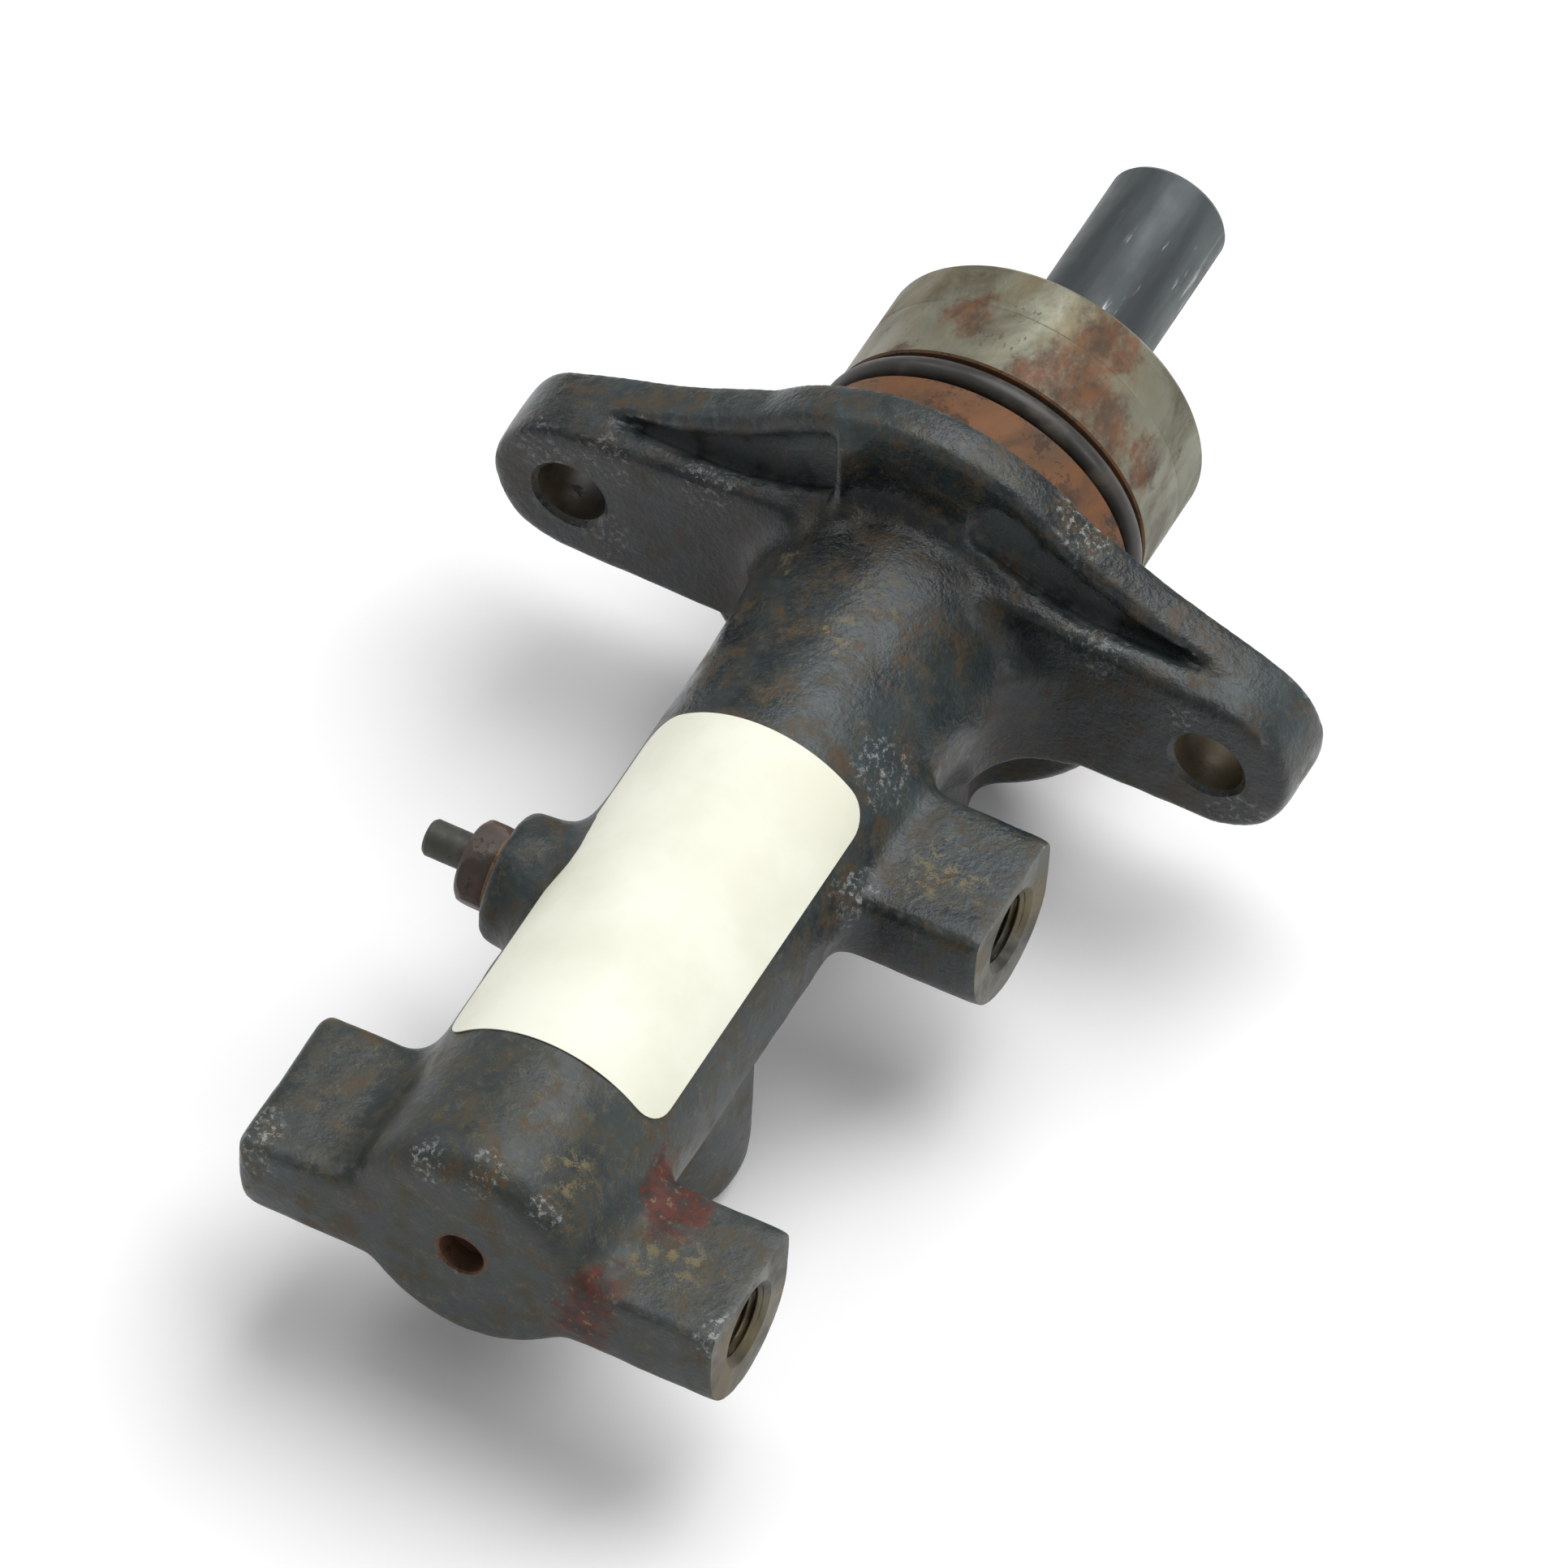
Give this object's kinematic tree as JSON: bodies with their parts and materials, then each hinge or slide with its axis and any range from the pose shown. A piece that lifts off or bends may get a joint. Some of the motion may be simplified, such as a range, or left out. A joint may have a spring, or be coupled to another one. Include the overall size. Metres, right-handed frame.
{
  "type": "brake master cylinder",
  "caption": "Cast-iron tandem brake master cylinder: two-ear flange, spigot with sealing ring, sprung pistons in its bore, threaded outlet ports and reservoir inlets.",
  "frame": {"origin": "centre of the flange's mounting face, on the bore's axis", "axes": "+Y along the bore towards the pushrod, -Y towards the closed end; +X towards the outlet ports; +Z away from the reservoir side"},
  "size_m": [0.105, 0.1805, 0.059],
  "materials": {
    "cast_iron_painted": "worn black paint over cast iron, brown rust in patches, bare machined faces",
    "ring_rubber": "matt dark grey rubber",
    "cup_rubber": "smooth black rubber",
    "grommet_rubber": "moulded black rubber",
    "rusted_steel": "brown surface rust over dark steel",
    "copper": "dull soft copper",
    "label_paper": "matt cream paper, blank",
    "plated_steel": "plated steel",
    "spring_steel": "oiled spring steel",
    "oxide_steel": "blue-black oxide with bright scratches",
    "piston_alloy": "anodised turned alloy",
    "bush_plastic": "glass-filled black plastic"
  },
  "bodies": {
    "housing": {"cylinder_body": "cast_iron_painted", "spigot_o_ring": "ring_rubber", "stop_screw": "rusted_steel", "stop_screw_washer": "copper", "label_sticker": "label_paper", "front_reservoir_grommet": "grommet_rubber", "rear_reservoir_grommet": "grommet_rubber", "gland_washer": "plated_steel", "gland_seal": "cup_rubber", "seal_backup_ring": "plated_steel", "guide_bush": "bush_plastic", "bush_washer": "plated_steel", "retaining_ring": "spring_steel", "secondary_spring": "spring_steel"},
    "primary": {"primary_piston": "oxide_steel", "primary_cup": "cup_rubber", "primary_cup_washer": "plated_steel", "retainer_screw": "plated_steel", "primary_spring": "spring_steel"},
    "secondary": {"secondary_piston": "piston_alloy", "secondary_cup": "cup_rubber", "secondary_cup_washer": "plated_steel", "separator_cup_front": "cup_rubber", "separator_cup_rear": "cup_rubber", "secondary_spring_seat": "plated_steel", "spring_retainer": "plated_steel"}
  },
  "joints": [
    {"name": "primary_slide", "type": "slide", "parent": "housing", "child": "primary", "axis": [0, -1, 0], "range_m": [0, 0.022], "stiffness_N_per_m": 2000, "springref_m": -0.02, "deforming": ["primary_spring"]},
    {"name": "secondary_slide", "type": "slide", "parent": "housing", "child": "secondary", "axis": [0, -1, 0], "range_m": [0, 0.011], "stiffness_N_per_m": 3000, "springref_m": -0.012, "deforming": ["secondary_spring"]}
  ],
  "couplings": [
    {"joint": "secondary_slide", "follows": "primary_slide", "ratio": 0.5}
  ]
}
